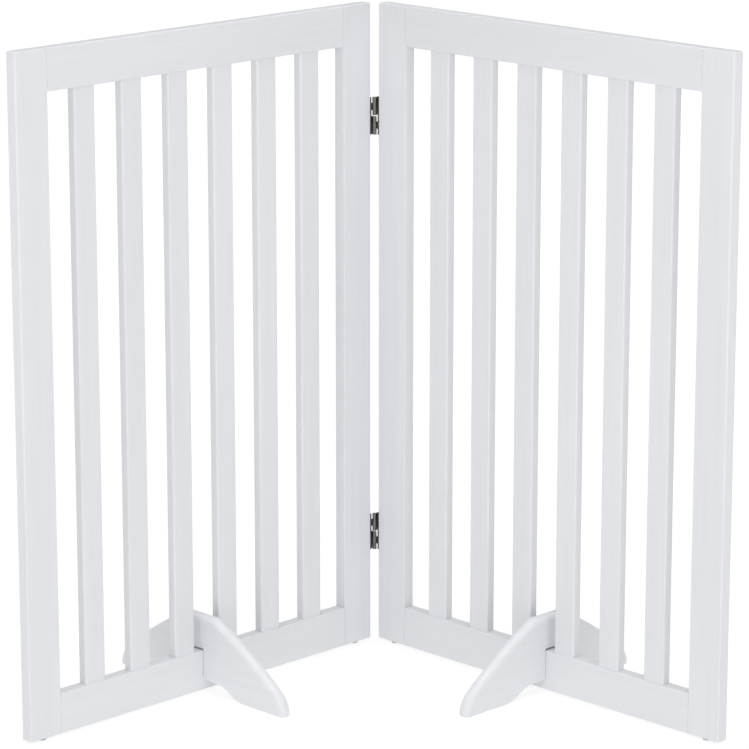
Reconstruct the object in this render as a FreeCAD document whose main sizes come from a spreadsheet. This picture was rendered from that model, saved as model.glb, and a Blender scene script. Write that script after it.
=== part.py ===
"""Free-standing pet gate: two slatted wooden panels, two double-action hinges and two slot-on feet.

The origin is on the floor under the middle of the gate. +Z is up, and the V of the panels opens
towards -Y, with the hinges at its far point. Each piece is modelled in its own frame: X runs along
the panel away from the hinges, Y through its thickness and Z up.
"""

import FreeCAD, Part
import Sketcher
import math
import os

Vector = FreeCAD.Vector

SIZES = {
    # whole gate
    "opening_angle": 90,
    "wood_height": 911,
    "panel_width": 628,
    "frame_thickness": 18,
    "stile_width": 52,
    "rail_height": 56,
    "outer_round": 2.5,
    "seam_round": 1,
    "rail_inner_round": 1.6,
    "rail_end_round": 1.2,
    # slats, let into mortises in the rails
    "slat_width": 34.5,
    "slat_thickness": 14,
    "slat_round": 2.5,
    "mortise_depth": 10,
    # dowels that hold the rails to the stiles
    "dowel_radius": 4,
    "dowel_length": 40,
    "dowel_offset": 15,
    "dowel_chamfer": 0.8,
    # glides nailed under the stiles
    "glide_radius": 5.5,
    "glide_height": 3,
    "glide_round": 1.2,
    "nail_radius": 1,
    "nail_length": 14,
    "nail_head_radius": 2.6,
    "nail_head_thickness": 0.8,
    "nail_head_recess": 1.4,
    # slot-on feet
    "foot_along": 314,
    "foot_thickness": 18,
    "foot_height": 108,
    "foot_reach": 165,
    "foot_crown_half": 22,
    "foot_crown_radius": 25,
    "foot_ramp_radius": 700,
    "foot_toe_radius": 40,
    "foot_sole_start": 90,
    "foot_arch_end": 30,
    "foot_arch_height": 17,
    "foot_clearance": 0.4,
    "foot_seat_gap": 2.5,
    "foot_round": 8,
    "foot_sole_round": 2,
    # double-action hinges
    "hinge_height": 52,
    "hinge_inset": 157.5,
    "hinge_edge_gap": 6,
    "hinge_proud": 1,
    "leaf_thickness": 1.5,
    "pin_radius": 1.5,
    "pin_clearance": 0.05,
    "knuckle_radius": 3,
    "leaf_knuckle_height": 10,
    "link_half_gap": 1,
    "knuckle_gap": 0.25,
    "link_thickness": 1.6,
    "link_relief": 4.6,
    # hinge screws
    "screw_head_radius": 3,
    "screw_radius": 1.6,
    "screw_length": 16,
    "screw_tip_length": 4,
    "screw_spacing": 17,
    "screw_stagger": 2.5,
    "screw_recess_width": 0.8,
    "screw_recess_length": 3.2,
    "screw_recess_depth": 0.9,
}

SLATS = 6
LEFT, RIGHT = -1, 1
SIDE_NAMES = {LEFT: "left", RIGHT: "right"}

doc = FreeCAD.newDocument("pet_gate")
sheet = doc.addObject("Spreadsheet::Sheet", "Sizes")
for row, (alias, number) in enumerate(SIZES.items(), start=1):
    sheet.set(f"A{row}", alias)
    sheet.set(f"B{row}", str(number))
    sheet.setAlias(f"B{row}", alias)
doc.recompute()


class Size:
    """A number together with the spreadsheet expression that gives it."""

    def __init__(self, number, text=None):
        self.number = float(number)
        self.text = text or repr(self.number)

    def combine(self, sign, other, number):
        return Size(number, f"({self.text} {sign} {as_size(other).text})")

    def __add__(self, other):
        return self.combine("+", other, self.number + as_size(other).number)

    def __sub__(self, other):
        return self.combine("-", other, self.number - as_size(other).number)

    def __mul__(self, other):
        return self.combine("*", other, self.number * as_size(other).number)

    def __truediv__(self, other):
        return self.combine("/", other, self.number / as_size(other).number)

    def __neg__(self):
        return Size(-self.number, f"(0 - {self.text})")


def as_size(value):
    return value if isinstance(value, Size) else Size(value)


def size(alias):
    return Size(sheet.get(alias), f"Sizes.{alias}")


HALF_THICKNESS = size("frame_thickness") / 2
RAIL_LENGTH = size("panel_width") - size("stile_width") * 2
SLAT_PITCH = (RAIL_LENGTH + size("slat_width")) / (SLATS + 1)
SLAT_LENGTH = size("wood_height") - size("rail_height") * 2 + size("mortise_depth") * 2
PIN_SPACING = size("frame_thickness") + size("hinge_proud") * 2
HALF_HINGE = size("hinge_height") / 2
LINK_HEIGHT = HALF_HINGE - size("link_half_gap")
BAND_START = (HALF_HINGE - size("leaf_knuckle_height")) / 2
SCREW_ROWS = (-1, 0, 1)


# ---- helpers for sketches and features ----------------------------------------------------------


def bind(thing, name, value):
    """Drives one property, or one named sketch constraint, from the sheet."""
    thing.setExpression(name, as_size(value).text)


def new_body(label):
    body = doc.addObject("PartDesign::Body", label)
    body.Label = label
    return body


def new_sketch(body, plane, offset=0):
    """A sketch parallel to one of the body's own origin planes, at an offset along its normal."""
    sketch = body.newObject("Sketcher::SketchObject", f"{body.Name}_sketch")
    origin_plane = next(f for f in body.Origin.OriginFeatures if f.Role == plane)
    sketch.AttachmentSupport = [(origin_plane, "")]
    sketch.MapMode = "FlatFace"
    lift = Vector(0, 0, as_size(offset).number)
    sketch.AttachmentOffset = FreeCAD.Placement(lift, FreeCAD.Rotation())
    bind(sketch, ".AttachmentOffset.Base.z", offset)
    return sketch


def pin_point(sketch, geometry, point, across, up):
    """Fixes one point of a sketch at a distance across and up from the sketch's origin."""
    for kind, value in (("DistanceX", across), ("DistanceY", up)):
        index = sketch.addConstraint(
            Sketcher.Constraint(kind, -1, 1, geometry, point, as_size(value).number)
        )
        name = f"{kind}_{geometry}_{point}"
        sketch.renameConstraint(index, name)
        bind(sketch, f"Constraints.{name}", value)


def set_radius(sketch, geometry, radius):
    index = sketch.addConstraint(Sketcher.Constraint("Radius", geometry, as_size(radius).number))
    name = f"Radius_{geometry}"
    sketch.renameConstraint(index, name)
    bind(sketch, f"Constraints.{name}", radius)


def polygon(sketch, corners):
    """A closed outline of straight edges, every corner placed from the sheet."""
    points = [Vector(as_size(a).number, as_size(b).number, 0) for a, b in corners]
    lines = [
        sketch.addGeometry(Part.LineSegment(points[i], points[(i + 1) % len(points)]), False)
        for i in range(len(points))
    ]
    for i, line in enumerate(lines):
        following = lines[(i + 1) % len(lines)]
        sketch.addConstraint(Sketcher.Constraint("Coincident", line, 2, following, 1))
        pin_point(sketch, line, 1, *corners[i])


def rectangle(sketch, low_x, high_x, low_y, high_y):
    polygon(sketch, [(low_x, low_y), (high_x, low_y), (high_x, high_y), (low_x, high_y)])


def circle(sketch, across, up, radius):
    centre = Vector(as_size(across).number, as_size(up).number, 0)
    ring = Part.Circle(centre, Vector(0, 0, 1), as_size(radius).number)
    geometry = sketch.addGeometry(ring, False)
    pin_point(sketch, geometry, 3, across, up)
    set_radius(sketch, geometry, radius)


def pad(body, sketch, length):
    feature = body.newObject("PartDesign::Pad", f"{body.Name}_pad")
    feature.Profile = sketch
    feature.Length = as_size(length).number
    bind(feature, "Length", length)
    doc.recompute()
    return feature


def pocket(body, sketch, depth, forwards=False):
    """Cuts against the sketch's normal, or along it when forwards is true."""
    before = body.Shape.Volume
    feature = body.newObject("PartDesign::Pocket", f"{body.Name}_pocket")
    feature.Profile = sketch
    feature.Reversed = forwards
    feature.Length = as_size(depth).number
    bind(feature, "Length", depth)
    doc.recompute()
    if not body.Shape.Volume < before - 1e-6:
        raise RuntimeError(f"{feature.Name} of {body.Label} cuts nothing")
    return feature


def revolve(body, sketch, axis):
    feature = body.newObject("PartDesign::Revolution", f"{body.Name}_revolution")
    feature.Profile = sketch
    feature.ReferenceAxis = (sketch, [axis])
    feature.Angle = 360
    doc.recompute()
    return feature


def soften(body, radius, wanted, kind="Fillet"):
    """Rounds or chamfers the edges of the body's last feature that wanted() accepts."""
    base = body.Tip
    names = [f"Edge{i}" for i, edge in enumerate(base.Shape.Edges, start=1) if wanted(edge)]
    feature = body.newObject(f"PartDesign::{kind}", f"{body.Name}_{kind.lower()}")
    feature.Base = (base, names)
    bind(feature, "Radius" if kind == "Fillet" else "Size", radius)
    doc.recompute()
    return feature


def edge_lies(edge, axis, value):
    """True when every point of the edge has this coordinate along the axis x, y or z."""
    ends = [getattr(vertex.Point, axis) for vertex in edge.Vertexes]
    ends.append(getattr(edge.valueAt((edge.FirstParameter + edge.LastParameter) / 2), axis))
    return all(abs(end - value) < 1e-4 for end in ends)


def edge_runs(edge, axis):
    """True when the edge is straight along the axis x, y or z."""
    span = edge.Vertexes[-1].Point - edge.Vertexes[0].Point
    return abs(abs(getattr(span, axis)) - edge.Length) < 1e-6 and edge.Length > 1e-6


# ---- where the pieces stand ---------------------------------------------------------------------


def heading(side):
    """The angle, in radians from +X, at which a panel runs away from the hinges."""
    return math.radians(-90 + side * size("opening_angle").number / 2)


def panel_point(side, along, back, up):
    """A point given along a panel from the front hinge axis, back from that axis, and up."""
    angle = heading(side)
    run = Vector(math.cos(angle), math.sin(angle), 0)
    backwards = Vector(-math.sin(angle), math.cos(angle), 0) * side
    spot = run * as_size(along).number + backwards * as_size(back).number
    return spot + Vector(0, HINGE_Y, as_size(up).number)


def place(thing, side, along, back, up):
    turn = FreeCAD.Rotation(Vector(0, 0, 1), math.degrees(heading(side)))
    thing.Placement = FreeCAD.Placement(panel_point(side, along, back, up), turn)


def hinge_axis_y():
    """How far behind the middle of the footprint the front hinge axis stands."""
    angle = heading(RIGHT)
    rounding = size("outer_round").number
    end = size("hinge_edge_gap").number + size("panel_width").number - rounding
    face = size("hinge_proud").number + rounding
    nearest = math.sin(angle) * end + math.cos(angle) * face - rounding
    furthest = math.cos(angle) * PIN_SPACING.number + size("knuckle_radius").number
    return -(nearest + furthest) / 2


HINGE_Y = hinge_axis_y()
PANEL_MIDDLE = size("hinge_proud") + HALF_THICKNESS
PARTS = []


def keep(thing, label):
    """Names a finished piece and puts it on the list of pieces to write."""
    thing.Label = label
    PARTS.append(thing)
    return thing


def group(label, pieces):
    """One named piece made of several separate solids."""
    compound = doc.addObject("Part::Compound", label)
    compound.Links = pieces
    return keep(compound, label)


# ---- wooden panels ------------------------------------------------------------------------------


def board(label, length, thickness, height):
    """A plain board centred on its own vertical axis."""
    body = new_body(label)
    sketch = new_sketch(body, "XY_Plane")
    rectangle(sketch, -length / 2, length / 2, -thickness / 2, thickness / 2)
    pad(body, sketch, height)
    return body


def drill(body, face, centres, radius, depth, forwards):
    """Blind holes along X from a face at this X, at each (across, up) centre."""
    sketch = new_sketch(body, "YZ_Plane", face)
    for across, up in centres:
        circle(sketch, across, up, radius)
    pocket(body, sketch, depth, forwards)


def dowel_rows():
    """Heights of the dowels above the foot of the wood: two in each rail."""
    low = size("rail_height") / 2
    high = size("wood_height") - size("rail_height") / 2
    offset = size("dowel_offset")
    return [middle + shift for middle in (low, high) for shift in (-offset, offset)]


def drill_for_glide(body):
    """The nail hole in the lower end of a stile."""
    sketch = new_sketch(body, "XY_Plane")
    circle(sketch, 0, 0, size("nail_radius"))
    pocket(body, sketch, size("nail_length"), forwards=True)


def stile(side, place_name):
    """An upright of the frame; its seam face, where the rails butt, faces the middle of the panel."""
    body = board(
        f"{SIDE_NAMES[side]}_{place_name}_stile",
        size("stile_width"),
        size("frame_thickness"),
        size("wood_height"),
    )
    inner = place_name == "inner"
    seam_sign = 1 if inner else -1
    seam = size("stile_width") / 2 * seam_sign
    soften(body, size("outer_round"), lambda edge: not edge_lies(edge, "x", seam.number))
    soften(body, size("seam_round"), lambda edge: edge_lies(edge, "x", seam.number))
    dowel_depth = size("dowel_length") / 2
    rows = [(0, up) for up in dowel_rows()]
    drill(body, seam, rows, size("dowel_radius"), dowel_depth, forwards=not inner)
    drill_for_glide(body)
    if inner:
        drill_for_screws(body, side)
    along = size("stile_width") / 2 if inner else size("panel_width") - size("stile_width") / 2
    place(body, side, size("hinge_edge_gap") + along, PANEL_MIDDLE, size("glide_height"))
    return keep(body, body.Label)


def rail(side, place_name):
    """A horizontal of the frame, with a row of mortises for the slats in its inner edge."""
    top = place_name == "top"
    label = f"{SIDE_NAMES[side]}_{place_name}_rail"
    body = board(label, RAIL_LENGTH, size("frame_thickness"), size("rail_height"))
    outer = size("rail_height").number if top else 0
    inner = size("rail_height") - size("rail_height") * (1 if top else 0)
    end = (RAIL_LENGTH / 2).number
    for rounding, height in (("outer_round", outer), ("rail_inner_round", inner.number)):
        soften(body, size(rounding), lambda edge: edge_runs(edge, "x") and edge_lies(edge, "z", height))
    soften(body, size("rail_end_round"), lambda edge: any(edge_lies(edge, "x", x) for x in (-end, end)))
    cut_mortises(body, inner, upwards=top)
    for face, forwards in ((-RAIL_LENGTH / 2, True), (RAIL_LENGTH / 2, False)):
        middle = size("rail_height") / 2
        rows = [(0, middle - size("dowel_offset")), (0, middle + size("dowel_offset"))]
        drill(body, face, rows, size("dowel_radius"), size("dowel_length") / 2, forwards)
    up = size("glide_height") + (size("wood_height") - size("rail_height") if top else 0)
    place(body, side, size("hinge_edge_gap") + size("panel_width") / 2, PANEL_MIDDLE, up)
    return keep(body, body.Label)


def cut_mortises(body, face, upwards):
    """One mortise, repeated along the rail."""
    sketch = new_sketch(body, "XY_Plane", face)
    middle = -RAIL_LENGTH / 2 - size("slat_width") / 2 + SLAT_PITCH
    half_width = size("slat_width") / 2
    half_thickness = size("slat_thickness") / 2
    rectangle(sketch, middle - half_width, middle + half_width, -half_thickness, half_thickness)
    before = body.Shape.Volume
    first = pocket(body, sketch, size("mortise_depth"), forwards=upwards)
    single = before - body.Shape.Volume
    pattern = body.newObject("PartDesign::LinearPattern", f"{body.Name}_mortises")
    pattern.Originals = [first]
    pattern.Direction = (sketch, ["H_Axis"])
    bind(pattern, "Length", SLAT_PITCH * (SLATS - 1))
    pattern.Occurrences = SLATS
    body.Tip = pattern
    doc.recompute()
    if abs(before - body.Shape.Volume - SLATS * single) > 1:
        raise RuntimeError(f"{body.Label} lacks some of its mortises")


def slat(side, number):
    """One upright slat; number 1 is the nearest to the hinges."""
    label = f"{SIDE_NAMES[side]}_slat_{number}"
    body = board(label, size("slat_width"), size("slat_thickness"), SLAT_LENGTH)
    soften(body, size("slat_round"), lambda edge: edge_runs(edge, "z"))
    along = size("stile_width") - size("slat_width") / 2 + SLAT_PITCH * number
    up = size("glide_height") + size("rail_height") - size("mortise_depth")
    place(body, side, size("hinge_edge_gap") + along, PANEL_MIDDLE, up)
    return keep(body, body.Label)


def dowels(side):
    """The dowels across the four butt joints of a panel."""
    pieces = []
    for joint in (size("stile_width"), size("panel_width") - size("stile_width")):
        for up in dowel_rows():
            rod = doc.addObject("Part::Cylinder", f"{SIDE_NAMES[side]}_dowel_rod")
            bind(rod, "Radius", size("dowel_radius"))
            bind(rod, "Height", size("dowel_length"))
            doc.recompute()
            dowel = doc.addObject("Part::Chamfer", f"{SIDE_NAMES[side]}_dowel")
            dowel.Base = rod
            rims = [i for i, edge in enumerate(rod.Shape.Edges, start=1) if edge.Closed]
            chamfer = size("dowel_chamfer").number
            dowel.Edges = [(i, chamfer, chamfer) for i in rims]
            start = size("hinge_edge_gap") + joint - size("dowel_length") / 2
            spot = panel_point(side, start, PANEL_MIDDLE, size("glide_height") + up)
            lie = FreeCAD.Rotation(Vector(0, 0, 1), math.degrees(heading(side)))
            stand = FreeCAD.Rotation(Vector(0, 1, 0), 90)
            dowel.Placement = FreeCAD.Placement(spot, lie.multiply(stand))
            pieces.append(dowel)
    doc.recompute()
    return group(f"{SIDE_NAMES[side]}_dowels", pieces)


# ---- glides -------------------------------------------------------------------------------------


def glide_spots(side):
    """The two places under a panel where a glide is nailed."""
    half = size("stile_width") / 2
    for along in (half, size("panel_width") - half):
        yield size("hinge_edge_gap") + along


def turned(label, outline):
    """A body turned about its vertical axis from a half outline of (radius, height) corners."""
    body = new_body(label)
    sketch = new_sketch(body, "XZ_Plane")
    polygon(sketch, outline)
    revolve(body, sketch, "V_Axis")
    return body


def glide(side, along):
    """A round plastic glide, recessed for the head of its nail."""
    bore, head, rim = size("nail_radius"), size("nail_head_radius"), size("glide_radius")
    recess, top = size("nail_head_recess"), size("glide_height")
    body = turned(
        f"{SIDE_NAMES[side]}_glide",
        [(head, 0), (rim, 0), (rim, top), (bore, top), (bore, recess), (head, recess)],
    )
    soften(
        body,
        size("glide_round"),
        lambda edge: edge_lies(edge, "z", 0) and edge.Curve.Radius > head.number + 0.1,
    )
    place(body, side, along, PANEL_MIDDLE, 0)
    return body


def nail(side, along):
    """The nail through a glide, its head up inside the recess."""
    shank, head = size("nail_radius"), size("nail_head_radius")
    under = size("nail_head_thickness")
    end = under + size("glide_height") - size("nail_head_recess") + size("nail_length")
    body = turned(
        f"{SIDE_NAMES[side]}_nail",
        [(0, 0), (head, 0), (head, under), (shank, under), (shank, end - shank * 2), (0, end)],
    )
    up = size("nail_head_recess") - size("nail_head_thickness")
    place(body, side, along, PANEL_MIDDLE, up)
    return body


def glides(side):
    name = SIDE_NAMES[side]
    group(f"{name}_glides", [glide(side, along) for along in glide_spots(side)])
    group(f"{name}_glide_nails", [nail(side, along) for along in glide_spots(side)])


# ---- feet ---------------------------------------------------------------------------------------


def bearing(vector):
    """The direction of a vector in a sketch, in degrees from its X."""
    return math.degrees(math.atan2(vector.y, vector.x))


def touching_centre(first, first_distance, second, second_distance):
    """The point below two others that lies at a given distance from each."""
    across = second - first
    gap = across.Length
    share = (first_distance**2 - second_distance**2 + gap**2) / (2 * gap)
    drop = math.sqrt(first_distance**2 - share**2)
    return first + across * (share / gap) + Vector(across.y, -across.x, 0) * (drop / gap)


def draw_half_foot(sketch):
    """Half of a foot's outline, from the middle of the panel out to the toe."""
    notch = HALF_THICKNESS + size("foot_clearance")
    seat = size("glide_height") + size("rail_height") + size("foot_seat_gap")
    top = size("foot_height")
    reach, toe = size("foot_reach"), size("foot_toe_radius")
    arch, arch_end, sole = size("foot_arch_height"), size("foot_arch_end"), size("foot_sole_start")
    crown, bend = size("foot_crown_half"), size("foot_crown_radius")
    ramp_radius = size("foot_ramp_radius")
    span = sole - arch_end
    sweep = (span * span + arch * arch) / (arch * 4)
    bend_centre = Vector(crown.number, (top - bend).number, 0)
    toe_centre = Vector((reach - toe).number, 0, 0)
    ramp_centre = touching_centre(
        bend_centre, (ramp_radius - bend).number, toe_centre, (ramp_radius - toe).number
    )
    toe_slope = bearing(toe_centre - ramp_centre)
    bend_slope = bearing(bend_centre - ramp_centre)

    def spot(across, up):
        return Vector(as_size(across).number, as_size(up).number, 0)

    def line(start, end):
        return sketch.addGeometry(Part.LineSegment(start, end), False)

    def arc(centre, radius, start, end):
        ring = Part.Circle(centre, Vector(0, 0, 1), as_size(radius).number)
        return sketch.addGeometry(Part.ArcOfCircle(ring, math.radians(start), math.radians(end)), False)

    turn = math.degrees(math.asin((span / 2).number / sweep.number))
    middle = (arch_end + span / 2, arch / 2)
    seat_edge = line(spot(0, seat), spot(notch, seat))
    notch_side = line(spot(notch, seat), spot(notch, arch))
    ledge = line(spot(notch, arch), spot(arch_end, arch))
    fall = arc(spot(arch_end, arch - sweep), sweep, 90 - turn, 90)
    settle = arc(spot(sole, sweep), sweep, 270 - turn, 270)
    sole_edge = line(spot(sole, 0), spot(reach, 0))
    toe_arc = arc(toe_centre, toe, 0, toe_slope)
    ramp = arc(ramp_centre, ramp_radius, toe_slope, bend_slope)
    bend_arc = arc(bend_centre, bend, bend_slope, 90)
    crown_edge = line(spot(crown, top), spot(0, top))
    axis_edge = line(spot(0, top), spot(0, seat))

    start, end, centre = 1, 2, 3
    for first, first_end, second, second_end in (
        (seat_edge, end, notch_side, start),
        (notch_side, end, ledge, start),
        (ledge, end, fall, end),
        (fall, start, settle, start),
        (settle, end, sole_edge, start),
        (sole_edge, end, toe_arc, start),
        (bend_arc, end, crown_edge, start),
        (crown_edge, end, axis_edge, start),
        (axis_edge, end, seat_edge, start),
    ):
        sketch.addConstraint(Sketcher.Constraint("Coincident", first, first_end, second, second_end))
    sketch.addConstraint(Sketcher.Constraint("Tangent", toe_arc, end, ramp, start))
    sketch.addConstraint(Sketcher.Constraint("Tangent", ramp, end, bend_arc, start))
    pin_point(sketch, seat_edge, start, 0, seat)
    pin_point(sketch, notch_side, start, notch, seat)
    pin_point(sketch, ledge, start, notch, arch)
    pin_point(sketch, fall, end, arch_end, arch)
    pin_point(sketch, settle, start, *middle)
    pin_point(sketch, sole_edge, start, sole, 0)
    pin_point(sketch, toe_arc, start, reach, 0)
    pin_point(sketch, toe_arc, centre, reach - toe, 0)
    pin_point(sketch, bend_arc, centre, crown, top - bend)
    pin_point(sketch, crown_edge, start, crown, top)
    pin_point(sketch, crown_edge, end, 0, top)
    for curve, radius in ((fall, sweep), (settle, sweep), (ramp, ramp_radius)):
        set_radius(sketch, curve, radius)


def foot(side):
    """A board on edge, notched to drop over the bottom rail between the two middle slats."""
    body = new_body(f"{SIDE_NAMES[side]}_foot")
    half = size("foot_thickness") / 2
    sketch = new_sketch(body, "YZ_Plane", -half)
    draw_half_foot(sketch)
    arm = pad(body, sketch, size("foot_thickness"))
    mirror = body.newObject("PartDesign::Mirrored", f"{body.Name}_both_arms")
    mirror.Originals = [arm]
    mirror.MirrorPlane = (next(f for f in body.Origin.OriginFeatures if f.Role == "XZ_Plane"), [""])
    body.Tip = mirror
    doc.recompute()
    seat = (size("glide_height") + size("rail_height") + size("foot_seat_gap")).number
    tip = size("foot_reach").number

    def top_edge(edge):
        """True for the edges of the two flanks over the crown, down the ramps and round the toes."""
        if edge_lies(edge, "z", 0) or not any(edge_lies(edge, "x", x * half.number) for x in (-1, 1)):
            return False
        ends = [vertex.Point for vertex in edge.Vertexes]
        return max(end.z for end in ends) > seat + 0.01 or max(abs(end.y) for end in ends) > tip - 1

    soften(body, size("foot_round"), top_edge)
    soften(body, size("foot_sole_round"), lambda edge: edge_lies(edge, "z", 0))
    place(body, side, size("hinge_edge_gap") + size("foot_along"), PANEL_MIDDLE, 0)
    return keep(body, body.Label)


# ---- double-action hinges -----------------------------------------------------------------------
#
# A hinge has two like leaves and two like links. One link joins the leaves in its upper half and
# one in its lower half. In the upper half the left leaf turns on the link's front pin and the right
# leaf on its back pin; in the lower half it is the other way round. Folding one way the gate turns
# about the front pins, and the other way about the back pins.


def knuckle_band(half):
    """The heights between which a leaf's knuckle stands, in the lower (0) or upper (1) half."""
    low = HALF_HINGE * half + BAND_START
    return low, low + size("leaf_knuckle_height")


def screw_centres():
    """(across, up) of the screws of a leaf, staggered about its middle."""
    for row in SCREW_ROWS:
        across = PIN_SPACING / 2 + size("screw_stagger") * (1 if row else -1)
        yield across, HALF_HINGE + size("screw_spacing") * row


def hinge_foot(top):
    """Height above the floor of the lower end of a hinge."""
    inset = size("hinge_inset")
    middle = size("glide_height") + (size("wood_height") - inset if top else inset)
    return middle - HALF_HINGE


def leaf_origin(side):
    """How far behind the front axis a leaf's own origin stands: the left leaf is turned about."""
    return 0 if side == RIGHT else PIN_SPACING


def drill_for_screws(body, side):
    """Pilot holes in the hinge edge of an inner stile, one set for each hinge."""
    face = -size("stile_width") / 2
    depth = size("screw_length") - size("leaf_thickness")
    centres = []
    for top in (False, True):
        for across, up in screw_centres():
            centres.append((across - PIN_SPACING / 2, hinge_foot(top) - size("glide_height") + up))
    drill(body, face, centres, size("screw_radius"), depth, forwards=True)


def leaf(side, hinge, top):
    """A plate on the stile's edge, with a knuckle on the pin of each half."""
    body = new_body(f"{hinge}_{SIDE_NAMES[side]}_leaf")
    edge, sheet_metal = size("hinge_edge_gap"), size("leaf_thickness")
    bore = size("pin_radius") + size("pin_clearance")
    outer = size("knuckle_radius")
    plate = new_sketch(body, "XY_Plane")
    rectangle(plate, edge - sheet_metal, edge, bore, PIN_SPACING - bore)
    pad(body, plate, size("hinge_height"))
    for half, axis, inwards in ((0, as_size(0), 1), (1, PIN_SPACING, -1)):
        low, high = knuckle_band(half)
        near, far = axis + bore * inwards, axis + outer * inwards
        strap = new_sketch(body, "XY_Plane", low)
        rectangle(strap, 0, edge, *((near, far) if inwards > 0 else (far, near)))
        pad(body, strap, high - low)
        barrel = new_sketch(body, "XY_Plane", low)
        circle(barrel, 0, axis, outer)
        pad(body, barrel, high - low)
        hole = new_sketch(body, "XY_Plane", low)
        circle(hole, 0, axis, bore)
        pocket(body, hole, high - low, forwards=True)
    countersink(body, edge - sheet_metal)
    place(body, side, 0, leaf_origin(side), hinge_foot(top))
    return keep(body, body.Label)


def countersink(body, face):
    """Countersunk screw holes through a leaf's plate."""
    before = body.Shape.Volume
    sketch = new_sketch(body, "YZ_Plane", face)
    for across, up in screw_centres():
        circle(sketch, across, up, size("screw_radius"))
    doc.recompute()
    hole = body.newObject("PartDesign::Hole", f"{body.Name}_hole")
    hole.Profile = sketch
    hole.Reversed = True
    hole.DepthType = "Dimension"
    hole.DrillPoint = "Flat"
    bind(hole, "Depth", size("leaf_thickness") * 2)
    bind(hole, "Diameter", size("screw_radius") * 2)
    hole.HoleCutType = "Countersink"
    hole.HoleCutCustomValues = True
    bind(hole, "HoleCutDiameter", size("screw_head_radius") * 2)
    hole.HoleCutCountersinkAngle = 90
    doc.recompute()
    if not body.Shape.Volume < before - 1:
        raise RuntimeError(f"{body.Label} has no screw holes")


def link(hinge, half, top):
    """A web with a pin tube at each edge, cut away in the middle for the leaves' knuckles."""
    body = new_body(f"{hinge}_{('lower', 'upper')[half]}_link")
    web = size("link_thickness") / 2
    outer, relief = size("knuckle_radius"), size("link_relief")
    plate = new_sketch(body, "XY_Plane")
    rectangle(plate, -web, web, 0, PIN_SPACING)
    pad(body, plate, LINK_HEIGHT)
    for axis in (as_size(0), PIN_SPACING):
        barrel = new_sketch(body, "XY_Plane")
        circle(barrel, 0, axis, outer)
        pad(body, barrel, LINK_HEIGHT)
    low, high = knuckle_band(0)
    start = low - size("knuckle_gap") - size("link_half_gap") * half
    slot = new_sketch(body, "XY_Plane", start)
    for edge in (-relief, PIN_SPACING - relief):
        rectangle(slot, -relief, relief, edge, edge + relief * 2)
    pocket(body, slot, high - low + size("knuckle_gap") * 2, forwards=True)
    bores = new_sketch(body, "XY_Plane")
    for axis in (0, PIN_SPACING):
        circle(bores, 0, axis, size("pin_radius"))
    pocket(body, bores, LINK_HEIGHT, forwards=True)
    side = (LEFT, RIGHT)[half]
    up = hinge_foot(top) + (HALF_HINGE + size("link_half_gap")) * half
    place(body, side, 0, leaf_origin(side), up)
    return keep(body, body.Label)


def pin(label, side, back, up, length):
    rod = doc.addObject("Part::Cylinder", label)
    bind(rod, "Radius", size("pin_radius"))
    bind(rod, "Height", length)
    place(rod, side, 0, back, up)
    return rod


def pins(hinge, top):
    """A pin in each edge of each link; the lower front pin is two stubs, clear of the leaf between."""
    base = hinge_foot(top)
    band_low, band_high = knuckle_band(0)
    stub = band_low - size("knuckle_gap")
    upper = base + HALF_HINGE + size("link_half_gap")
    for name, back in (("front", 0), ("back", PIN_SPACING)):
        label = f"{hinge}_upper_{name}_pin"
        keep(pin(label, RIGHT, back, upper, LINK_HEIGHT), label)
    label = f"{hinge}_lower_back_pin"
    keep(pin(label, LEFT, PIN_SPACING, base, LINK_HEIGHT), label)
    label = f"{hinge}_lower_front_pin"
    high_stub = band_high + size("knuckle_gap")
    stubs = [
        pin(f"{label}_low", LEFT, 0, base, stub),
        pin(f"{label}_high", LEFT, 0, base + high_stub, LINK_HEIGHT - high_stub),
    ]
    group(label, stubs)


def screw(label, side, back, up):
    """A countersunk wood screw, lying along X with its head at the origin."""
    body = new_body(label)
    head, core = size("screw_head_radius"), size("screw_radius")
    length, tip = size("screw_length"), size("screw_tip_length")
    profile = new_sketch(body, "XY_Plane")
    polygon(profile, [(0, 0), (length, 0), (length - tip, core), (head - core, core), (0, head)])
    revolve(body, profile, "H_Axis")
    half_width, half_length = size("screw_recess_width") / 2, size("screw_recess_length") / 2
    for wide, tall in ((half_width, half_length), (half_length, half_width)):
        slot = new_sketch(body, "YZ_Plane")
        rectangle(slot, -wide, wide, -tall, tall)
        pocket(body, slot, size("screw_recess_depth"), forwards=True)
    place(body, side, size("hinge_edge_gap") - size("leaf_thickness"), back, up)
    return body


def screws(side, hinge, top):
    label = f"{hinge}_{SIDE_NAMES[side]}_screws"
    pieces = []
    for across, up in screw_centres():
        back = across if side == RIGHT else PIN_SPACING - across
        pieces.append(screw(f"{label}_one", side, back, hinge_foot(top) + up))
    return group(label, pieces)


# ---- the whole gate -----------------------------------------------------------------------------


def build():
    for side in (LEFT, RIGHT):
        for name in ("inner", "outer"):
            stile(side, name)
        for name in ("bottom", "top"):
            rail(side, name)
        for number in range(1, SLATS + 1):
            slat(side, number)
        dowels(side)
        glides(side)
        foot(side)
    for hinge, top in (("bottom_hinge", False), ("top_hinge", True)):
        for side in (LEFT, RIGHT):
            leaf(side, hinge, top)
            screws(side, hinge, top)
        for half in (0, 1):
            link(hinge, half, top)
        pins(hinge, top)
    doc.recompute()


def check():
    """Stops if any object failed to build or any piece isn't a valid solid."""
    for thing in doc.Objects:
        if "Invalid" in thing.State or "Error" in thing.State:
            raise RuntimeError(f"{thing.Name} is {thing.State}")
    for thing in PARTS:
        shape = thing.Shape
        if shape.isNull() or not shape.isValid() or not shape.Solids:
            raise RuntimeError(f"{thing.Label} has no valid solid")


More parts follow.
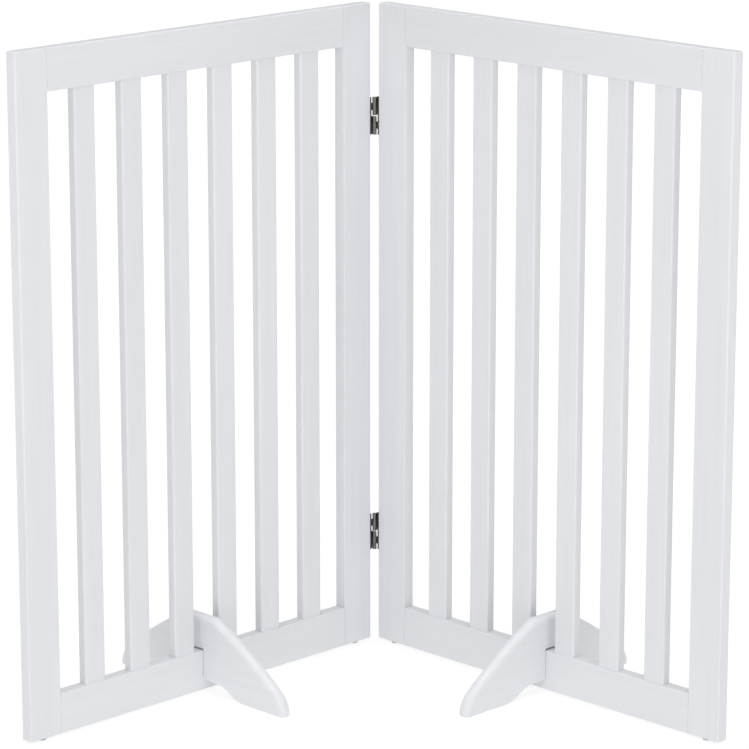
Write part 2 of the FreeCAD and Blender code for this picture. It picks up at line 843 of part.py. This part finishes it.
build()
check()
os.makedirs("parts", exist_ok=True)
for piece in PARTS:
    piece.Shape.exportStep(f"parts/{piece.Label}.step")
whole = Part.makeCompound([piece.Shape for piece in PARTS]).optimalBoundingBox(False, False)
reach_x = f"X {whole.XMin:.2f} {whole.XMax:.2f}"
reach_y = f"Y {whole.YMin:.2f} {whole.YMax:.2f}"
print(f"{len(PARTS)} pieces, {reach_x}, {reach_y}, Z {whole.ZMin:.2f} {whole.ZMax:.2f}")
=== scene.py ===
"""Looks for the pet gate: materials for each piece, floor, light and camera."""

import math

import bmesh
import bpy
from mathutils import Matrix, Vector

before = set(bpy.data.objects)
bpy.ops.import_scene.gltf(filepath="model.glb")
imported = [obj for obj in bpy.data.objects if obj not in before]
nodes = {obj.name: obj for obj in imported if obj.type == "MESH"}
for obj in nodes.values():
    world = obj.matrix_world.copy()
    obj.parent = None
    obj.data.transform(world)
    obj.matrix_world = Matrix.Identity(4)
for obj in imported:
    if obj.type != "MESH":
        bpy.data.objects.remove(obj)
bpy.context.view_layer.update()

MM = 0.001
SIDES = {"left": -1, "right": 1}
PANEL_TURN = math.radians(45)
ALONG, ACROSS, UPRIGHT = 0, 1, 2


def heading(side):
    """The turn about Z that takes +X to the direction a panel runs in, away from the hinges."""
    return -math.pi / 2 + SIDES[side] * PANEL_TURN


# ---------------------------------------------------------------- node trees


def add_node(tree, kind, inputs=None, **settings):
    """Adds a shader node. An input is a number, a colour or another node's output socket."""
    node = tree.nodes.new(kind)
    for name, value in settings.items():
        setattr(node, name, value)
    for key, value in (inputs or {}).items():
        if isinstance(value, bpy.types.NodeSocket):
            tree.links.new(value, node.inputs[key])
        else:
            node.inputs[key].default_value = value
    return node


def new_material(name):
    """A new material and its Principled shader."""
    material = bpy.data.materials.new(name)
    material.use_nodes = True
    return material, material.node_tree.nodes["Principled BSDF"]


def math_node(tree, operation, first, second=0.0):
    """The result of one sum on one or two numbers or sockets."""
    return add_node(tree, "ShaderNodeMath", {0: first, 1: second}, operation=operation).outputs[0]


def object_coordinates(tree, turn=0.0, stretch=(1, 1, 1)):
    """The piece's own coordinates in metres, turned about Z and scaled."""
    place = add_node(tree, "ShaderNodeTexCoord")
    turned = add_node(
        tree, "ShaderNodeMapping", {"Vector": place.outputs["Object"], "Rotation": (0, 0, -turn)}
    )
    scaled = add_node(
        tree, "ShaderNodeMapping", {"Vector": turned.outputs["Vector"], "Scale": stretch}
    )
    return scaled.outputs["Vector"]


def own_offset(tree, amount):
    """A number of each piece's own, so that no two boards carry the same figure."""
    info = add_node(tree, "ShaderNodeObjectInfo")
    return math_node(tree, "MULTIPLY", info.outputs["Random"], amount)


def noise(tree, vector, scale, detail=2.0, roughness=0.5, offset=None):
    """Soft noise from 0 to 1."""
    inputs = {"Vector": vector, "Scale": scale, "Detail": detail, "Roughness": roughness}
    if offset is not None:
        inputs["W"] = offset
    dimensions = "3D" if offset is None else "4D"
    made = add_node(tree, "ShaderNodeTexNoise", inputs, noise_dimensions=dimensions)
    return made.outputs["Fac"]


def remap(tree, value, low, high, to_low, to_high, **settings):
    """Maps a value's range low..high onto to_low..to_high, clamped."""
    limits = {"From Min": low, "From Max": high, "To Min": to_low, "To Max": to_high}
    made = add_node(tree, "ShaderNodeMapRange", {"Value": value, **limits}, **settings)
    return made.outputs["Result"]


def smooth_step(tree, value, low, high):
    """Rises smoothly from 0 to 1 as a value goes from low to high, or falls where low is larger."""
    ends = (0.0, 1.0) if low < high else (1.0, 0.0)
    low, high = min(low, high), max(low, high)
    return remap(tree, value, low, high, *ends, interpolation_type="SMOOTHSTEP")


def mix_colour(tree, factor, first, second):
    """A blend of two colours."""
    made = add_node(tree, "ShaderNodeMix", {"Factor": factor}, data_type="RGBA")
    for key, value in (("A", first), ("B", second)):
        socket = [s for s in made.inputs if s.name == key and s.type == "RGBA"][0]
        if isinstance(value, bpy.types.NodeSocket):
            tree.links.new(value, socket)
        else:
            socket.default_value = (*value, 1)
    return [s for s in made.outputs if s.type == "RGBA"][0]


def drawn_out(axis, factor):
    """The scale of a texture that runs long along one axis."""
    scale = [1.0, 1.0, 1.0]
    scale[axis] = factor
    return scale


def bump(tree, height, distance, normal=None):
    """Relief of a depth in metres, on top of another relief."""
    inputs = {"Height": height, "Distance": distance}
    if normal is not None:
        inputs["Normal"] = normal
    return add_node(tree, "ShaderNodeBump", inputs).outputs["Normal"]


# ---------------------------------------------------------------- materials

PAINT = (0.716, 0.728, 0.754)
PAINT_THIN = (0.668, 0.677, 0.697)
PAINT_PORES = (0.59, 0.59, 0.60)
# The hinge plate colour is far darker than real nickel: a painted dark reflection, standing in for a
# dark room mirrored in the knuckles.
NICKEL_WITH_PAINTED_DARK_REFLECTION = (0.20, 0.196, 0.188)
# duller wear patches, their colour also lowered as a painted dark reflection
NICKEL_DULL_WEAR_AND_PAINTED_DARK = (0.13, 0.126, 0.12)
NICKEL_PINS = (0.44, 0.43, 0.415)
NICKEL_SCREWS = (0.48, 0.47, 0.455)
BEECH, BEECH_DARK = (0.72, 0.54, 0.35), (0.55, 0.37, 0.21)
NYLON, NYLON_SCUFFED = (0.40, 0.40, 0.41), (0.29, 0.29, 0.30)
FLOOR_PALE, FLOOR_PALER = (0.29, 0.29, 0.29), (0.31, 0.31, 0.31)

# how closely a texture is packed along its long direction: wood grain, brush strokes, rub marks
# and the rings of bare wood
GRAIN, STROKES, RUBS, RINGS = 0.035, 0.25, 0.06, 0.15


def painted_wood(name, turn, grain_axis):
    """Satin white paint over sanded wood, with the grain showing through along the board."""
    material, shader = new_material(name)
    tree = material.node_tree
    grain_place = object_coordinates(tree, turn, drawn_out(grain_axis, GRAIN))
    wavy_place = object_coordinates(tree, turn, drawn_out(grain_axis, STROKES))
    plain_place = object_coordinates(tree)
    offset = own_offset(tree, 40.0)

    fibres = noise(tree, grain_place, 900.0, 5.0, 0.62, offset)
    figure = noise(tree, grain_place, 120.0, 3.0, 0.55, offset)
    levelling = noise(tree, wavy_place, 55.0, 2.0, 0.5, offset)
    peel = noise(tree, plain_place, 1500.0, 1.0, 0.5)
    tone = noise(tree, wavy_place, 6.0, 2.0, 0.5, offset)

    pores = remap(tree, fibres, 0.62, 0.76, 0.0, 1.0)
    pale = mix_colour(tree, remap(tree, tone, 0.3, 0.7, 0.0, 0.60), PAINT, PAINT_THIN)
    grained = mix_colour(tree, remap(tree, figure, 0.42, 0.72, 0.0, 0.55), pale, PAINT_THIN)
    colour = mix_colour(tree, remap(tree, fibres, 0.62, 0.76, 0.0, 0.50), grained, PAINT_PORES)
    tree.links.new(colour, shader.inputs["Base Color"])
    tree.links.new(remap(tree, figure, 0.2, 0.8, 0.33, 0.52), shader.inputs["Roughness"])

    normal = bump(tree, levelling, 0.16 * MM)
    normal = bump(tree, figure, 0.12 * MM, normal)
    normal = bump(tree, peel, 0.020 * MM, normal)
    sunk = add_node(tree, "ShaderNodeBump", {"Height": pores, "Distance": 0.06 * MM}, invert=True)
    tree.links.new(normal, sunk.inputs["Normal"])
    tree.links.new(sunk.outputs["Normal"], shader.inputs["Normal"])
    return material


def plated_steel(name, colour, rough):
    """Nickel plating with fine rub marks and duller patches; the dull colour is also darkened as a
    painted dark reflection.
    """
    material, shader = new_material(name)
    tree = material.node_tree
    shader.inputs["Metallic"].default_value = 1.0
    rubbed = object_coordinates(tree, 0.0, drawn_out(UPRIGHT, RUBS))
    plain = object_coordinates(tree)
    offset = own_offset(tree, 25.0)
    scratches = noise(tree, rubbed, 5200.0, 4.0, 0.7, offset)
    patches = noise(tree, plain, 260.0, 3.0, 0.6, offset)
    specks = noise(tree, plain, 2600.0, 2.0, 0.6, offset)
    base = mix_colour(tree, remap(tree, patches, 0.30, 0.75, 0.0, 0.45), colour, NICKEL_DULL_WEAR_AND_PAINTED_DARK)
    base = mix_colour(tree, remap(tree, specks, 0.62, 0.75, 0.0, 0.5), base, NICKEL_DULL_WEAR_AND_PAINTED_DARK)
    tree.links.new(base, shader.inputs["Base Color"])
    roughness = remap(tree, patches, 0.25, 0.75, rough, rough + 0.16)
    tree.links.new(roughness, shader.inputs["Roughness"])
    normal = bump(tree, scratches, 0.010 * MM)
    normal = bump(tree, patches, 0.020 * MM, normal)
    tree.links.new(normal, shader.inputs["Normal"])
    return material


def bare_wood():
    """Unpainted beech of the dowels, which shows only inside the joints."""
    material, shader = new_material("bare_wood")
    tree = material.node_tree
    place = object_coordinates(tree, 0.0, drawn_out(UPRIGHT, RINGS))
    rings = noise(tree, place, 300.0, 5.0, 0.6)
    colour = mix_colour(tree, remap(tree, rings, 0.3, 0.7, 0, 1), BEECH, BEECH_DARK)
    tree.links.new(colour, shader.inputs["Base Color"])
    shader.inputs["Roughness"].default_value = 0.7
    tree.links.new(bump(tree, rings, 0.05 * MM), shader.inputs["Normal"])
    return material


def glide_plastic():
    """Grey nylon glide, scuffed where it slides."""
    material, shader = new_material("glide_plastic")
    tree = material.node_tree
    place = object_coordinates(tree)
    grain = noise(tree, place, 3000.0, 2.0, 0.5)
    scuff = noise(tree, place, 700.0, 4.0, 0.65)
    colour = mix_colour(tree, remap(tree, scuff, 0.4, 0.7, 0, 1), NYLON, NYLON_SCUFFED)
    tree.links.new(colour, shader.inputs["Base Color"])
    tree.links.new(remap(tree, scuff, 0.3, 0.7, 0.42, 0.62), shader.inputs["Roughness"])
    normal = bump(tree, grain, 0.02 * MM)
    tree.links.new(bump(tree, scuff, 0.03 * MM, normal), shader.inputs["Normal"])
    return material


def dress_nodes():
    """Gives every CAD node its material."""
    boards = {}
    for side in SIDES:
        turn = heading(side)
        for run, grain_axis in (("upright", UPRIGHT), ("rail", ALONG), ("foot", ACROSS)):
            name = f"painted_wood_{side}_{run}"
            boards[side, run] = painted_wood(name, turn, grain_axis)
    # the hinge plates and knuckles take the darkened nickel, a painted dark reflection
    plate_steel_painted_dark = plated_steel("plated_steel", NICKEL_WITH_PAINTED_DARK_REFLECTION, 0.26)
    pin_steel = plated_steel("plated_steel_pins", NICKEL_PINS, 0.20)
    screw_steel = plated_steel("plated_steel_screws", NICKEL_SCREWS, 0.24)
    wood, nylon = bare_wood(), glide_plastic()
    for name, node in nodes.items():
        side = "left" if name.startswith("left") else "right"
        if "hinge" in name:
            material = screw_steel if "screws" in name else pin_steel if "pin" in name else plate_steel_painted_dark
        elif "dowels" in name:
            material = wood
        elif "nails" in name:
            material = screw_steel
        elif "glides" in name:
            material = nylon
        elif "rail" in name:
            material = boards[side, "rail"]
        elif "foot" in name:
            material = boards[side, "foot"]
        else:
            material = boards[side, "upright"]
        node.data.materials.clear()
        node.data.materials.append(material)


# ---------------------------------------------------------------- floor, light and camera

FLOOR_RADIUS, FLOOR_DROP, FLOOR_GLOW = 60.0, 0.0002, 0.73
SKY_BASE, SKY_BANK, SKY_TOP, SKY_HORIZON = 0.28, 2.25, 2.30, 0.60
# the banks' edges in degrees aside from the front, the upper edge of each as the upward part of a
# unit direction, and how soft these edges are
BANK_START, BANK_END, BANK_BLUR = 15, 55, 10
BANK_HEIGHT, BANK_HEIGHT_BLUR = 0.55, 0.10
CAMERA_PLACE, CAMERA_DOWN, CAMERA_LENS = (0.0, -4.6853, 1.6060), 13.948, 173.02


def make_floor():
    """A plain pale floor, wide enough that no view sees its edge close by."""
    mesh = bpy.data.meshes.new("floor")
    shape = bmesh.new()
    bmesh.ops.create_circle(shape, cap_ends=True, segments=128, radius=FLOOR_RADIUS)
    shape.to_mesh(mesh)
    shape.free()
    floor = bpy.data.objects.new("floor", mesh)
    bpy.context.scene.collection.objects.link(floor)
    floor.location.z = -FLOOR_DROP
    material, shader = new_material("floor_white")
    tree = material.node_tree
    mottle = noise(tree, object_coordinates(tree), 3.0, 2.0, 0.5)
    colour = mix_colour(tree, mottle, FLOOR_PALE, FLOOR_PALER)
    tree.links.new(colour, shader.inputs["Base Color"])
    shader.inputs["Roughness"].default_value = 0.9
    shader.inputs["Specular IOR Level"].default_value = 0.1
    shader.inputs["Emission Color"].default_value = (1, 1, 1, 1)
    shader.inputs["Emission Strength"].default_value = FLOOR_GLOW
    mesh.materials.append(material)


def make_sky():
    """Studio surround: a bright bank of light each side of the front, one overhead, pale all round."""
    world = bpy.data.worlds.new("studio")
    bpy.context.scene.world = world
    world.use_nodes = True
    tree = world.node_tree
    place = add_node(tree, "ShaderNodeTexCoord")
    parts = add_node(tree, "ShaderNodeSeparateXYZ", {"Vector": place.outputs["Generated"]})
    x, y, z = (parts.outputs[name] for name in "XYZ")
    from_front = math_node(tree, "ARCTAN2", x, math_node(tree, "MULTIPLY", y, -1.0))
    aside = math_node(tree, "ABSOLUTE", math_node(tree, "MULTIPLY", from_front, math.degrees(1)))
    inner = smooth_step(tree, aside, BANK_START, BANK_START + BANK_BLUR)
    outer = smooth_step(tree, aside, BANK_END, BANK_END - BANK_BLUR)
    bank_top = smooth_step(tree, z, BANK_HEIGHT, BANK_HEIGHT - BANK_HEIGHT_BLUR)
    bank = math_node(tree, "MULTIPLY", inner, outer)
    bank = math_node(tree, "MULTIPLY", bank, bank_top)
    level = math_node(tree, "MULTIPLY", bank, SKY_BANK)
    for low, high, strength in ((0.80, 0.90, SKY_TOP), (0.16, 0.10, SKY_HORIZON)):
        part = math_node(tree, "MULTIPLY", smooth_step(tree, z, low, high), strength)
        level = math_node(tree, "ADD", level, part)
    level = math_node(tree, "ADD", level, SKY_BASE)
    background = tree.nodes["Background"]
    background.inputs["Color"].default_value = (1, 1, 1, 1)
    tree.links.new(level, background.inputs["Strength"])


def softbox(name, place, target, size, power):
    """A large square soft light that faces a point."""
    data = bpy.data.lights.new(name, "AREA")
    data.shape, data.size, data.energy = "SQUARE", size, power
    light = bpy.data.objects.new(name, data)
    bpy.context.scene.collection.objects.link(light)
    light.location = place
    light.rotation_euler = (Vector(target) - Vector(place)).to_track_quat("-Z", "Y").to_euler()
    light.visible_camera = False


def make_lights():
    """A near soft light in front and above, which lifts the upper half of the gate."""
    softbox("fill", (0, -1.7, 1.7), (0, 0.2, 0.3), 1.0, 4.6)


def make_camera():
    """A long lens in front of the gate, above it and looking slightly down."""
    data = bpy.data.cameras.new("camera")
    data.lens, data.sensor_width = CAMERA_LENS, 36.0
    data.clip_start, data.clip_end = 0.1, 200.0
    camera = bpy.data.objects.new("camera", data)
    bpy.context.scene.collection.objects.link(camera)
    camera.location = CAMERA_PLACE
    camera.rotation_euler = (math.radians(90 - CAMERA_DOWN), 0, 0)
    bpy.context.scene.camera = camera


# ---------------------------------------------------------------- the scene

dress_nodes()
make_floor()
make_sky()
make_lights()
make_camera()
bpy.context.scene.view_settings.view_transform = "Standard"
bpy.context.scene.view_settings.look = "None"
